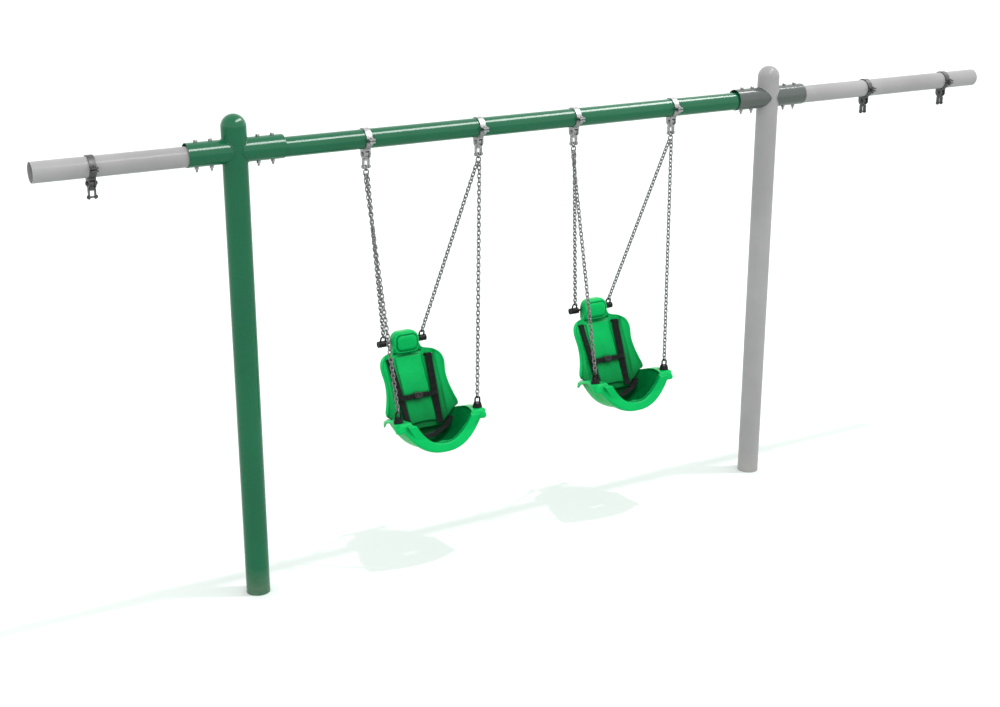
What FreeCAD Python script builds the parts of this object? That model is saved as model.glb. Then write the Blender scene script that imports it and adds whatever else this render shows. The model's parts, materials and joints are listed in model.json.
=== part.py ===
"""Swing set: two posts with through sleeves, a top rail, pivoting hangers and two moulded seats on chains.

Frame: origin on the ground midway between the posts, X along the top rail, Z up; a seated child faces -Y.
"""
import FreeCAD, Part
import math
import os

Vector = FreeCAD.Vector
Placement = FreeCAD.Placement
Rotation = FreeCAD.Rotation

doc = FreeCAD.newDocument("SwingSet")

# --------------------------------------------------------------------------------------------------
# Driving dimensions (mm, degrees)
# --------------------------------------------------------------------------------------------------
SIZES = {
    # posts, sleeves and rails
    "span": 3352.8, "post_od": 127, "post_wall": 3.2, "post_height": 2505,
    "rail_od": 101.6, "rail_wall": 3.2, "rail_height": 2379, "rail_end_gap": 3,
    "left_rail_reach": 2670, "right_rail_reach": 3370,
    "sleeve_od": 122, "sleeve_wall": 3.5, "sleeve_length": 500, "sleeve_fit": 0.2,
    # rail bolts, upright through sleeve and rail
    "rail_bolt_od": 12.7, "rail_bolt_hole": 13.5, "rail_bolt_first": 122, "rail_bolt_pitch": 76,
    "rail_bolt_length": 142, "rail_bolt_hex": 19, "rail_bolt_head": 8.5, "rail_nut_height": 10.8,
    # hangers
    "inner_hanger": 304, "outer_hanger": 970, "left_spare": -2393, "right_spare": 2445, "far_spare": 3104,
    "band_width": 32, "band_wall": 6, "band_gap": 6, "ear_reach": 88, "ear_thickness": 8,
    "ear_bolt_place": 74, "ear_bolt_od": 10, "ear_bolt_length": 34, "ear_hex": 16, "ear_head": 6.4,
    "ear_nut_height": 8,
    "pivot_drop": 78, "cheek_thickness": 7, "cheek_gap": 22.8, "cheek_radius": 24,
    "pivot_od": 12.7, "pivot_hex": 19, "pivot_head": 7, "pivot_nut_height": 8,
    "hub_width": 22, "hub_radius": 17, "bushing_od": 19, "running_gap": 0.04,
    "clevis_drop": 66, "arm_gap": 24, "arm_thickness": 6, "arm_radius": 11,
    "clevis_od": 9.5, "clevis_hex": 15, "clevis_head": 6, "clevis_nut_height": 6.5,
    # chain
    "wire": 6.3, "link_inner_width": 12.4, "link_inner_length": 22.6, "link_pitch": 22.3,
    "master_wire": 7, "master_inner_width": 19.4, "master_inner_length": 28, "chain_side_step": 6.2,
    # seat, measured from the seat's middle plane and from the ground
    "eye_wire": 9.5, "eye_radius": 14.5, "eye_leg": 49, "eye_base_radius": 26, "eye_base_height": 28,
    "eye_stud": 12, "front_eye_half": 245, "front_eye_y": -110, "front_eye_z": 850,
    "rear_eye_half": 121, "rear_eye_y": 314, "rear_eye_z": 1159, "rear_barrel_radius": 18,
    "rear_barrel_length": 56, "rear_eye_leg": 34, "rear_eye_tilt": 16, "rear_rod_od": 12,
    "seat_forward": 21, "pan_wall": 9, "rim_depth": 40, "rim_tilt": 15.7, "rim_top_y": -160, "rim_top_z": 850,
    "back_thickness": 7, "head_depth": 66, "head_wall": 5, "flange_thickness": 8,
    "strap_width": 38, "chest_strap_width": 26, "strap_thickness": 2.5, "slot_length": 50, "slot_height": 14,
    "buckle_length": 44, "buckle_height": 34, "buckle_thickness": 12, "buckle_z": 885,
    "button_length": 14, "button_height": 12, "button_thickness": 6, "button_gap": 0.3,
}

sheet = doc.addObject("Spreadsheet::Sheet", "sheet")
for row, (alias, number) in enumerate(SIZES.items(), start=1):
    sheet.set("A%d" % row, alias)
    sheet.set("B%d" % row, repr(number))
    sheet.setAlias("B%d" % row, alias)
doc.recompute()


def size(alias):
    """A driving dimension as a number, read from the sheet."""
    return float(sheet.get(alias))


# Heights and places worked out from the driving dimensions
RAIL_Z = size("rail_height")
RAIL_R = size("rail_od") / 2
SLEEVE_BORE = size("sleeve_od") / 2 - size("sleeve_wall")
SLEEVE_Z = RAIL_Z + SLEEVE_BORE - RAIL_R - size("sleeve_fit")
PIVOT_Z = RAIL_Z - size("pivot_drop")
CLEVIS_Z = PIVOT_Z - size("clevis_drop")
HANGERS = [-size("outer_hanger"), -size("inner_hanger"), size("inner_hanger"), size("outer_hanger")]
SPARES = [size("left_spare"), size("right_spare"), size("far_spare")]
SEAT_X = (size("inner_hanger") + size("outer_hanger")) / 2
SEAT_Y = -size("seat_forward")      # so that the seats hang level under their hangers
ALONG = {"X": Rotation(Vector(0, 1, 0), 90), "Y": Rotation(Vector(1, 0, 0), -90), "Z": Rotation()}


# --------------------------------------------------------------------------------------------------
# Building blocks
# --------------------------------------------------------------------------------------------------
def place(item, at, rotation):
    """Put an object somewhere; a coordinate given as text is an expression of the sheet."""
    numbers = [0 if isinstance(part, str) else part for part in at]
    item.Placement = Placement(Vector(*numbers), rotation)
    for axis, part in zip("xyz", at):
        if isinstance(part, str):
            item.setExpression("Placement.Base." + axis, part)


def solid(kind, name, at, rotation, **expressions):
    item = doc.addObject(kind, name)
    place(item, at, rotation)
    for prop, expression in expressions.items():
        item.setExpression(prop, expression)
    return item


def cylinder(name, radius, height, at, axis="Z"):
    return solid("Part::Cylinder", name, at, ALONG[axis], Radius=radius, Height=height)


def box(name, length, width, height, at, rotation=Rotation()):
    return solid("Part::Box", name, at, rotation, Length=length, Width=width, Height=height)


def prism(name, across_flats, height, at, axis="Z"):
    """A hexagon bar, for bolt heads and nuts."""
    item = solid("Part::Prism", name, at, ALONG[axis], Height=height)
    item.Polygon = 6
    item.setExpression("Circumradius", across_flats + " / sqrt(3)")
    return item


def cut(name, base, *tools):
    item = doc.addObject("Part::Cut", name)
    item.Base = base
    item.Tool = tools[0] if len(tools) == 1 else fuse(name + "_tools", *tools)
    return item


def fuse(name, *shapes):
    item = doc.addObject("Part::MultiFuse", name)
    item.Shapes = list(shapes)
    item.Refine = True
    return item


def common(name, *shapes):
    item = doc.addObject("Part::MultiCommon", name)
    item.Shapes = list(shapes)
    return item


def node(name, item):
    """Mark an object as a sub-part: its label is the node's name."""
    item.Label = name
    NODES.append(item)
    return item


def several(name, *sources):
    """A sub-part made of separate solids: pairs of a source object and the placements of its copies."""
    links = []
    for source, placements in sources:
        for where in placements:
            link = doc.addObject("App::Link", "%s_copy%d" % (name, len(links) + 1))
            link.LinkedObject = source
            link.LinkTransform = True
            link.Placement = where
            links.append(link)
    group = doc.addObject("Part::Compound", name + "_group")
    group.Links = links
    return node(name, group)


def copies(name, source, placements):
    """A sub-part made of separate copies of one solid."""
    return several(name, (source, placements))


def at_x(positions, y=0, z=0, rotation=Rotation()):
    return [Placement(Vector(x, y, z), rotation) for x in positions]


NODES = []


def hex_bolt(name, shank_od, shank_length, hex_size, head_height, tip):
    """Bolt with its head's underside at the origin and its shank along -Z."""
    head = prism(name + "_head", hex_size, head_height, (0, 0, 0))
    crown = solid("Part::Cone", name + "_crown", (0, 0, head_height), Rotation(),
                  Radius1=hex_size + " * 0.5", Radius2=hex_size + " * 0.38", Height=head_height + " * 0.2")
    shank = cylinder(name + "_shank", shank_od + " / 2", shank_length, (0, 0, "-(" + shank_length + ")"))
    point = solid("Part::Cone", name + "_point", (0, 0, "-(" + shank_length + ") - " + tip), Rotation(),
                  Radius1=shank_od + " * 0.3", Radius2=shank_od + " / 2", Height=tip)
    return fuse(name, head, crown, shank, point)


def hex_nut(name, thread_od, hex_size, height):
    """Nut with its bearing face at the origin and its body along -Z."""
    body = prism(name + "_body", hex_size, height, (0, 0, "-(" + height + ")"))
    bore = cylinder(name + "_bore", thread_od + " / 2 + 0.02", height + " + 2", (0, 0, "-(" + height + ") - 1"))
    return cut(name, body, bore)


# --------------------------------------------------------------------------------------------------
# Posts, sleeves and rails
# --------------------------------------------------------------------------------------------------
def post(side, x):
    outer = cylinder(side + "_post_outer", "sheet.post_od / 2", "sheet.post_height", (x, 0, 0))
    inner = cylinder(side + "_post_inner", "sheet.post_od / 2 - sheet.post_wall", "sheet.post_height + 2",
                     (x, 0, -1))
    window = cylinder(side + "_post_window", "sheet.sleeve_od / 2 + 0.1", "sheet.post_od + 20",
                      (x + " - sheet.post_od / 2 - 10", 0, SLEEVE_Z), "X")
    node(side + "_post", cut(side + "_post", outer, inner, window))

    dome = solid("Part::Sphere", side + "_dome", (x, 0, "sheet.post_height"), Rotation(),
                 Radius="sheet.post_od / 2")
    hollow = solid("Part::Sphere", side + "_hollow", (x, 0, "sheet.post_height"), Rotation(),
                   Radius="sheet.post_od / 2 - sheet.post_wall")
    lower = box(side + "_dome_lower", "sheet.post_od + 2", "sheet.post_od + 2", "sheet.post_od",
                (x + " - sheet.post_od / 2 - 1", "-sheet.post_od / 2 - 1", "sheet.post_height - sheet.post_od"))
    node(side + "_post_cap", cut(side + "_post_cap", dome, hollow, lower))


def rail_bolt_places():
    """X offsets from a post's axis of the four bolts in its sleeve."""
    first, second = size("rail_bolt_first"), size("rail_bolt_first") + size("rail_bolt_pitch")
    return [-second, -first, first, second]


def drilled_tube(name, radius, wall, length, start, z, bolt_xs):
    """Tube along X with an upright bolt hole through both walls at each place."""
    outer = cylinder(name + "_outer", radius, length, (start, 0, z), "X")
    inner = cylinder(name + "_inner", radius + " - " + wall, length + " + 2", (start + " - 1", 0, z), "X")
    holes = [cylinder("%s_hole%d" % (name, count), "sheet.rail_bolt_hole / 2", "sheet.sleeve_od + 20",
                      (x, 0, z - size("sleeve_od") / 2 - 10)) for count, x in enumerate(bolt_xs, start=1)]
    return node(name, cut(name, outer, inner, *holes))


def frame():
    half = size("span") / 2
    for side, sign in (("left", -1), ("right", 1)):
        x = "%d * sheet.span / 2" % sign
        post(side, x)
        drilled_tube(side + "_sleeve", "sheet.sleeve_od / 2", "sheet.sleeve_wall", "sheet.sleeve_length",
                     x + " - sheet.sleeve_length / 2", SLEEVE_Z, [sign * half + d for d in rail_bolt_places()])

    inward = [d for d in rail_bolt_places() if d > 0]
    drilled_tube("top_rail", "sheet.rail_od / 2", "sheet.rail_wall", "sheet.span - 2 * sheet.rail_end_gap",
                 "-sheet.span / 2 + sheet.rail_end_gap", RAIL_Z,
                 [-half + d for d in inward] + [half - d for d in inward])
    drilled_tube("left_neighbour_rail", "sheet.rail_od / 2", "sheet.rail_wall",
                 "sheet.left_rail_reach - sheet.span / 2 - sheet.rail_end_gap", "-sheet.left_rail_reach", RAIL_Z,
                 [-half - d for d in inward])
    drilled_tube("right_neighbour_rail", "sheet.rail_od / 2", "sheet.rail_wall",
                 "sheet.right_rail_reach - sheet.span / 2 - sheet.rail_end_gap",
                 "sheet.span / 2 + sheet.rail_end_gap", RAIL_Z, [half + d for d in inward])

    bolt = hex_bolt("rail_bolt", "sheet.rail_bolt_od", "sheet.rail_bolt_length", "sheet.rail_bolt_hex",
                    "sheet.rail_bolt_head", "6")
    nut = hex_nut("rail_nut", "sheet.rail_bolt_od", "sheet.rail_bolt_hex", "sheet.rail_nut_height")
    xs = [sign * half + d for sign in (-1, 1) for d in rail_bolt_places()]
    crown = size("sleeve_od") / 2 + 0.05
    copies("sleeve_bolts", bolt, at_x(xs, z=SLEEVE_Z + crown))
    copies("sleeve_nuts", nut, at_x(xs, z=SLEEVE_Z - crown))


# --------------------------------------------------------------------------------------------------
# Hangers: a two-piece clamp, its pivot and the pendulum fork (built at the origin, on the rail's axis)
# --------------------------------------------------------------------------------------------------
def half_band(name, upper):
    """Half of the rail clamp with an ear on each side."""
    width, gap = size("band_width"), size("band_gap") / 2
    outer = cylinder(name + "_outer", "sheet.rail_od / 2 + sheet.band_wall", "sheet.band_width",
                     ("-sheet.band_width / 2", 0, 0), "X")
    ears = box(name + "_ears", "sheet.band_width", "2 * sheet.ear_reach", "sheet.ear_thickness",
               (-width / 2, "-sheet.ear_reach", gap if upper else -gap - size("ear_thickness")))
    inner = cylinder(name + "_inner", "sheet.rail_od / 2 + 0.05", "sheet.band_width + 2",
                     ("-sheet.band_width / 2 - 1", 0, 0), "X")
    removed = box(name + "_removed", "sheet.band_width + 2", "2 * sheet.ear_reach + 2", "sheet.ear_reach",
                  ("-sheet.band_width / 2 - 1", "-sheet.ear_reach - 1",
                   gap - size("ear_reach") if upper else -gap))
    holes = [cylinder("%s_bolt_hole%d" % (name, count), "sheet.ear_bolt_od / 2 + 0.3", "40",
                      (0, y, -20)) for count, y in enumerate(ear_bolt_places(), start=1)]
    return fuse(name + "_blank", outer, ears), [inner, removed] + holes


def ear_bolt_places():
    return [-size("ear_bolt_place"), size("ear_bolt_place")]


def clamp_cap():
    blank, tools = half_band("cap", True)
    return cut("clamp_cap", blank, *tools)


def clamp_yoke():
    """Lower half band with a block under it and two round cheeks for the pivot bolt."""
    blank, tools = half_band("yoke", False)
    across = "(sheet.cheek_gap + 2 * sheet.cheek_thickness)"
    block = box("yoke_block", across, "2 * sheet.cheek_radius", "sheet.pivot_drop - sheet.rail_od / 2",
                ("-" + across + " / 2", "-sheet.cheek_radius", "-sheet.pivot_drop"))
    round_end = cylinder("yoke_round", "sheet.cheek_radius", across,
                         ("-" + across + " / 2", 0, "-sheet.pivot_drop"), "X")
    throat = box("yoke_throat", "sheet.cheek_gap", "4 * sheet.cheek_radius", "sheet.cheek_radius * 2",
                 ("-sheet.cheek_gap / 2", "-2 * sheet.cheek_radius",
                  -size("pivot_drop") + size("hub_radius") + 1 - 2 * size("cheek_radius")))
    bore = cylinder("yoke_bore", "sheet.pivot_od / 2 + sheet.running_gap", across + " + 2",
                    ("-" + across + " / 2 - 1", 0, "-sheet.pivot_drop"), "X")
    return cut("clamp_yoke", fuse("yoke_body", blank, block, round_end), *tools, throat, bore)


def pendulum_fork():
    """Hub on the pivot bolt with two arms down to the clevis bolt; the pivot axis is at the origin."""
    across = "(sheet.arm_gap + 2 * sheet.arm_thickness)"
    hub = cylinder("fork_hub", "sheet.hub_radius", "sheet.hub_width", ("-sheet.hub_width / 2", 0, 0), "X")
    neck = box("fork_neck", "sheet.hub_width", "1.5 * sheet.arm_radius", "sheet.hub_radius + 10",
               ("-sheet.hub_width / 2", "-0.75 * sheet.arm_radius", "-sheet.hub_radius - 13"))
    bridge = box("fork_bridge", across, "2 * sheet.arm_radius", "9",
                 ("-" + across + " / 2", "-sheet.arm_radius", "-sheet.hub_radius - 17"))
    parts = [hub, neck, bridge]
    for side, sign in (("left", -1), ("right", 1)):
        x = "%d * (sheet.arm_gap + sheet.arm_thickness) / 2 - sheet.arm_thickness / 2" % sign
        parts.append(box("fork_%s_arm" % side, "sheet.arm_thickness", "2 * sheet.arm_radius",
                         "sheet.clevis_drop - sheet.hub_radius - 10",
                         (x, "-sheet.arm_radius", "-sheet.clevis_drop")))
        parts.append(cylinder("fork_%s_toe" % side, "sheet.arm_radius", "sheet.arm_thickness",
                              (x, 0, "-sheet.clevis_drop"), "X"))
    bore = cylinder("fork_bore", "sheet.bushing_od / 2", "sheet.hub_width + 2",
                    ("-sheet.hub_width / 2 - 1", 0, 0), "X")
    eye = cylinder("fork_eye", "sheet.clevis_od / 2 + 0.05", across + " + 2",
                   ("-" + across + " / 2 - 1", 0, "-sheet.clevis_drop"), "X")
    return cut("pendulum_fork", fuse("fork_body", *parts), bore, eye)


def pivot_bushing():
    outer = cylinder("bushing_outer", "sheet.bushing_od / 2", "sheet.hub_width + 0.4",
                     ("-sheet.hub_width / 2 - 0.2", 0, 0), "X")
    inner = cylinder("bushing_inner", "sheet.pivot_od / 2 + sheet.running_gap", "sheet.hub_width + 2",
                     ("-sheet.hub_width / 2 - 1", 0, 0), "X")
    return cut("pivot_bushing", outer, inner)


def hangers():
    every = HANGERS + SPARES
    half_gap = size("band_gap") / 2 + size("ear_thickness")
    copies("clamp_caps", clamp_cap(), at_x(every, z=RAIL_Z))
    copies("clamp_yokes", clamp_yoke(), at_x(every, z=RAIL_Z))

    ear_bolt = hex_bolt("ear_bolt", "sheet.ear_bolt_od", "sheet.ear_bolt_length", "sheet.ear_hex",
                        "sheet.ear_head", "2")
    ear_nut = hex_nut("ear_nut", "sheet.ear_bolt_od", "sheet.ear_hex", "sheet.ear_nut_height")
    ear_xy = [(x, y) for x in every for y in ear_bolt_places()]
    copies("clamp_bolts", ear_bolt, [Placement(Vector(x, y, RAIL_Z + half_gap), Rotation()) for x, y in ear_xy])
    copies("clamp_nuts", ear_nut, [Placement(Vector(x, y, RAIL_Z - half_gap), Rotation()) for x, y in ear_xy])

    # the pivot and clevis bolts lie along X: head on the -X side, nut on the +X side
    lying = Rotation(Vector(0, 1, 0), -90)
    cheek_face = size("cheek_gap") / 2 + size("cheek_thickness") + 0.1
    pivot_bolt = hex_bolt("pivot_bolt", "sheet.pivot_od",
                          "sheet.cheek_gap + 2 * sheet.cheek_thickness + sheet.pivot_nut_height + 3",
                          "sheet.pivot_hex", "sheet.pivot_head", "1.5")
    pivot_nut = hex_nut("pivot_nut", "sheet.pivot_od", "sheet.pivot_hex", "sheet.pivot_nut_height")
    copies("pivot_bolts", pivot_bolt, [Placement(Vector(x - cheek_face, 0, PIVOT_Z), lying) for x in every])
    copies("pivot_nuts", pivot_nut, [Placement(Vector(x + cheek_face, 0, PIVOT_Z), lying) for x in every])

    arm_face = size("arm_gap") / 2 + size("arm_thickness") + 0.1
    clevis_bolt = hex_bolt("clevis_bolt", "sheet.clevis_od",
                           "sheet.arm_gap + 2 * sheet.arm_thickness + sheet.clevis_nut_height + 2",
                           "sheet.clevis_hex", "sheet.clevis_head", "1.5")
    clevis_nut = hex_nut("clevis_nut", "sheet.clevis_od", "sheet.clevis_hex", "sheet.clevis_nut_height")
    fork, bushing = pendulum_fork(), pivot_bushing()
    groups = [("left_swing", HANGERS[:2]), ("right_swing", HANGERS[2:])]
    for name, xs in groups:
        copies(name + "_pendulums", fork, at_x(xs, z=PIVOT_Z))
        copies(name + "_bushings", bushing, at_x(xs, z=PIVOT_Z))
        copies(name + "_clevis_bolts", clevis_bolt,
               [Placement(Vector(x - arm_face, 0, CLEVIS_Z), lying) for x in xs])
        copies(name + "_clevis_nuts", clevis_nut,
               [Placement(Vector(x + arm_face, 0, CLEVIS_Z), lying) for x in xs])
    for count, x in enumerate(SPARES, start=1):
        name = "spare_hanger_%d" % count
        copies(name + "_pendulum", fork, at_x([x], z=PIVOT_Z))
        copies(name + "_bushing", bushing, at_x([x], z=PIVOT_Z))
        several(name + "_clevis_bolt",
                (clevis_bolt, [Placement(Vector(x - arm_face, 0, CLEVIS_Z), lying)]),
                (clevis_nut, [Placement(Vector(x + arm_face, 0, CLEVIS_Z), lying)]))


# --------------------------------------------------------------------------------------------------
# Seat pan: a trough with a thick front rim and outward flanges (X measured from the seat's middle plane)
# --------------------------------------------------------------------------------------------------
UPRIGHT = Rotation(Vector(1, 0, 0), 90)     # a sketch drawn in X and Z, facing -Y


def trough_curve(half_width, top, bottom, power):
    """Open curve of a trough section in X and Z: steeper sides for a higher power."""
    steps = [-1, -0.94, -0.8, -0.6, -0.35, 0, 0.35, 0.6, 0.8, 0.94, 1]
    points = [Vector(half_width * step, bottom + (top - bottom) * abs(step) ** power, 0) for step in steps]
    curve = Part.BSplineCurve()
    curve.interpolate(points)
    return curve


def polyline(points):
    ends = [Vector(x, z, 0) for x, z in points]
    return [Part.LineSegment(a, b) for a, b in zip(ends, ends[1:])]


def mirrored(points):
    return [(-x, z) for x, z in reversed(points)]


def sketch(name, geometry, placement):
    item = doc.addObject("Sketcher::SketchObject", name)
    item.addGeometry(geometry, False)
    item.Placement = placement
    return item


def loft(name, sections, ruled=False):
    item = doc.addObject("Part::Loft", name)
    item.Sections = sections
    item.Solid = True
    item.Ruled = ruled
    return item


def trough(name, stations):
    """Solid trough lofted through (y, half width, top, bottom, power) stations."""
    sections = []
    for count, (y, half_width, top, bottom, power) in enumerate(stations, start=1):
        lid = polyline([(half_width, top), (-half_width, top)])
        sections.append(sketch("%s_section%d" % (name, count),
                               [trough_curve(half_width, top, bottom, power)] + lid,
                               Placement(Vector(0, y, 0), UPRIGHT)))
    return loft(name, sections)


PAN_OUTSIDE = [(-185, 222, 842, 674, 2.3), (-90, 226, 838, 650, 2.6), (0, 228, 822, 637, 3.0),
               (60, 222, 803, 645, 3.0), (116, 205, 792, 700, 2.6)]
RIM_BORE = [(-240, 184, 862, 730, 2.2), (-165, 190, 862, 706, 2.3)]
RIM_HEIGHT = 188
RIM_INSIDE_DEPTH = 135


def pan_inside():
    """The hollow of the pan: the outside stations drawn in by the wall, and the mouth through the rim."""
    wall = size("pan_wall")
    stations = [(y, half - wall, top + 12, bottom + wall, power)
                for y, half, top, bottom, power in PAN_OUTSIDE[1:]]
    stations[-1] = (PAN_OUTSIDE[-1][0] - wall,) + stations[-1][1:]
    return trough("pan_hollow", RIM_BORE + stations)


def front_rim():
    """Thick front rim drawn flat: its lower edge leads, so the drawing plane leans forward."""
    inside = trough_curve(185, 0, -RIM_INSIDE_DEPTH, 2.2)
    outside = trough_curve(234, -45, -RIM_HEIGHT, 2.4)
    shoulder = [(185, 0), (205, 6), (248, 4), (266, -6), (275, -22), (274, -45), (234, -45)]
    profile = [inside] + polyline(shoulder) + [outside] + polyline(mirrored(shoulder))
    body = doc.addObject("PartDesign::Body", "rim")
    face = next(part for part in body.Origin.OriginFeatures if part.Role == "XZ_Plane")
    drawing = body.newObject("Sketcher::SketchObject", "rim_drawing")
    drawing.AttachmentSupport = (face, [""])
    drawing.MapMode = "FlatFace"
    drawing.addGeometry(profile, False)
    pad = body.newObject("PartDesign::Pad", "rim_pad")
    pad.Profile = drawing
    pad.Reversed = True
    pad.setExpression("Length", "sheet.rim_depth")
    body.Tip = pad
    place(body, (0, "sheet.rim_top_y", "sheet.rim_top_z"), Rotation(Vector(1, 0, 0), -size("rim_tilt")))
    return body


def flange(side, sign):
    """Flange along one side of the pan: level under the chain eye, then falling to the back."""
    thickness = size("flange_thickness")
    sections = []
    for count, (y, inner, outer, top, lip) in enumerate([(-172, 205, 274, 850, 44), (-60, 214, 270, 850, 22),
                                                         (0, 214, 262, 832, 20), (78, 203, 242, 802, 36)], 1):
        corners = [(inner, top), (outer - 6, top), (outer, top - 6), (outer, top - lip),
                   (outer - thickness, top - lip), (outer - thickness, top - thickness),
                   (inner, top - thickness), (inner, top)]
        sections.append(sketch("%s_flange_section%d" % (side, count),
                               polyline([(sign * x, z) for x, z in corners]),
                               Placement(Vector(0, y, 0), UPRIGHT)))
    return loft(side + "_flange", sections, ruled=True)


def seat_pan():
    blank = fuse("pan_blank", trough("pan_outside", PAN_OUTSIDE), front_rim(),
                 flange("left", -1), flange("right", 1))
    stud_holes = [cylinder("stud_hole%d" % count, "sheet.eye_stud / 2 + 0.1", "60",
                           ("%d * sheet.front_eye_half" % sign, "sheet.front_eye_y", "sheet.front_eye_z - 30"))
                  for count, sign in enumerate((-1, 1), start=1)]
    drain = box("drain_slot", "84", "12", "60", (-42, -46, 620))
    return cut("seat_pan", blank, pan_inside(), drain, *stud_holes, *screw_bores("pan"))


def screw_bores(name):
    return [cylinder("%s_screw_bore%d" % (name, count), "4.1", "60", (x, 75, SCREW_Z), "Y")
            for count, x in enumerate(SCREW_XS, start=1)]


SCREW_XS = [-120, -60, 60, 120]
SCREW_Z = 782
SCREW_FACE = PAN_OUTSIDE[-1][0]      # outer face of the pan's rear wall

# --------------------------------------------------------------------------------------------------
# Seat back: a curved shell cut to the back's outline, with a deep headrest
# --------------------------------------------------------------------------------------------------
# (height, y of the front face on the middle plane, y of the front face at the slab's edges)
BACK_SECTIONS = [(700, 42, 16), (819, 109, 63), (930, 172, 90), (1050, 240, 143), (1104, 262, 163),
                 (1150, 264, 167), (1240, 246, 149)]
BACK_HALF = 260


def back_face(x, z):
    """The y of the back's front face."""
    for (low, low_mid, low_edge), (high, high_mid, high_edge) in zip(BACK_SECTIONS, BACK_SECTIONS[1:]):
        if z <= high:
            part = (z - low) / (high - low)
            middle = low_mid + part * (high_mid - low_mid)
            edge = low_edge + part * (high_edge - low_edge)
            return middle + (edge - middle) * (x / BACK_HALF) ** 2
    raise ValueError("above the headrest")


def screw_bosses():
    """Bosses from the back's rear face to the pan's rear wall."""
    reach = SCREW_FACE - size("pan_wall") - 0.1
    bosses = []
    for count, x in enumerate(SCREW_XS, start=1):
        start = back_face(x, SCREW_Z) + 3
        bosses.append(cylinder("screw_boss%d" % count, "9", str(reach - start), (x, start, SCREW_Z), "Y"))
    return bosses


def back_slab():
    depth = size("back_thickness") * 1.12
    sections = []
    for count, (z, middle, edge) in enumerate(BACK_SECTIONS, start=1):
        corners = [Vector(-BACK_HALF, edge, 0), Vector(0, middle, 0), Vector(BACK_HALF, edge, 0)]
        rear = [corner + Vector(0, depth, 0) for corner in corners]
        geometry = [Part.Arc(*corners), Part.LineSegment(corners[2], rear[2]), Part.Arc(*reversed(rear)),
                    Part.LineSegment(rear[0], corners[0])]
        sections.append(sketch("back_section%d" % count, geometry, Placement(Vector(0, 0, z), Rotation())))
    return loft("back_slab", sections)


def extrusion(name, base, length):
    item = doc.addObject("Part::Extrusion", name)
    item.Base = base
    item.DirMode = "Custom"
    item.Dir = Vector(0, 1, 0)
    item.LengthFwd = length
    item.Solid = True
    return item


def head_outline(inset):
    """Closed outline of the headrest: straight sides and a round-cornered top."""
    half, top, corner = 82 - inset, 1228 - inset, 46 - inset
    foot = 1096 + inset
    side, crown = top - corner, half - corner
    diagonal = corner * math.sqrt(0.5)
    right = Part.Arc(Vector(half, side, 0), Vector(crown + diagonal, side + diagonal, 0), Vector(crown, top, 0))
    left = Part.Arc(Vector(-crown, top, 0), Vector(-crown - diagonal, side + diagonal, 0),
                    Vector(-half, side, 0))
    lines = polyline([(-half, side), (-half, foot), (half, foot), (half, side)])
    return lines + [right] + polyline([(crown, top), (-crown, top)]) + [left]


def back_outline():
    flank = [(110, 722), (150, 758), (182, 787), (204, 807), (222, 819), (224, 840), (212, 874), (196, 928),
             (190, 985), (196, 1035), (196, 1065), (183, 1095), (152, 1114), (110, 1121), (90, 1131), (82, 1150)]
    curves = []
    for points in (flank, mirrored(flank)):
        curve = Part.BSplineCurve()
        curve.interpolate([Vector(x, z, 0) for x, z in points])
        curves.append(curve)
    neck = polyline([(82, 1150), (-82, 1150)])
    foot = polyline([(-110, 722), (110, 722)])
    return [curves[0]] + neck + [curves[1]] + foot


def seat_back():
    outline = sketch("back_outline", back_outline(), Placement(Vector(0, -20, 0), UPRIGHT))
    shell = common("back_shell", back_slab(), extrusion("back_outline_bar", outline, 400))
    head = extrusion("head", sketch("head_drawing", head_outline(0), Placement(Vector(0, 250, 0), UPRIGHT)),
                     size("head_depth") + 12)
    hollow = extrusion("head_hollow", sketch("head_hollow_drawing", head_outline(size("head_wall")),
                                             Placement(Vector(0, 255, 0), UPRIGHT)), size("head_depth") + 20)
    shaped = cut("head_shell", head, hollow)
    bore = cylinder("rod_hole", "sheet.rear_rod_od / 2 + 0.1", "300", (-150, "sheet.rear_eye_y", "sheet.rear_eye_z"),
                    "X")
    slots = [box("strap_slot%d" % count, "sheet.slot_length", "90", "sheet.slot_height",
                 strap_slot_corner(sign), RECLINE) for count, sign in enumerate((-1, 1), start=1)]
    return cut("seat_back", fuse("back_blank", shell, shaped, *screw_bosses()), bore, *slots,
               *screw_bores("back"))


# --------------------------------------------------------------------------------------------------
# Chain eyes and the rear rod
# --------------------------------------------------------------------------------------------------
def eye_loop(name, foot, leg):
    """Loop of the eye in the XZ plane: two legs and a half ring."""
    parts = [solid("Part::Torus", name + "_bow", (0, 0, leg), UPRIGHT, Radius1="sheet.eye_radius",
                   Radius2="sheet.eye_wire / 2")]
    parts[0].Angle3 = 180
    for side, sign in (("left", -1), ("right", 1)):
        parts.append(cylinder("%s_%s_leg" % (name, side), "sheet.eye_wire / 2", leg + " - " + foot,
                              ("%d * sheet.eye_radius" % sign, 0, foot)))
    return parts


def front_eye():
    """Eye with a round coned base and a stud down through the flange."""
    skirt = cylinder("eye_skirt", "sheet.eye_base_radius", "9", (0, 0, 0))
    cone = solid("Part::Cone", "eye_cone", (0, 0, 9), Rotation(), Radius1="sheet.eye_base_radius",
                 Radius2="sheet.eye_radius + sheet.eye_wire / 2 + 1.5",
                 Height="sheet.eye_base_height - 9")
    stud = cylinder("eye_stud", "sheet.eye_stud / 2", "sheet.flange_thickness + 16",
                    (0, 0, "-sheet.flange_thickness - 16"))
    return fuse("front_eye", skirt, cone, stud, *eye_loop("front_eye", "20", "sheet.eye_leg"))


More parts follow.
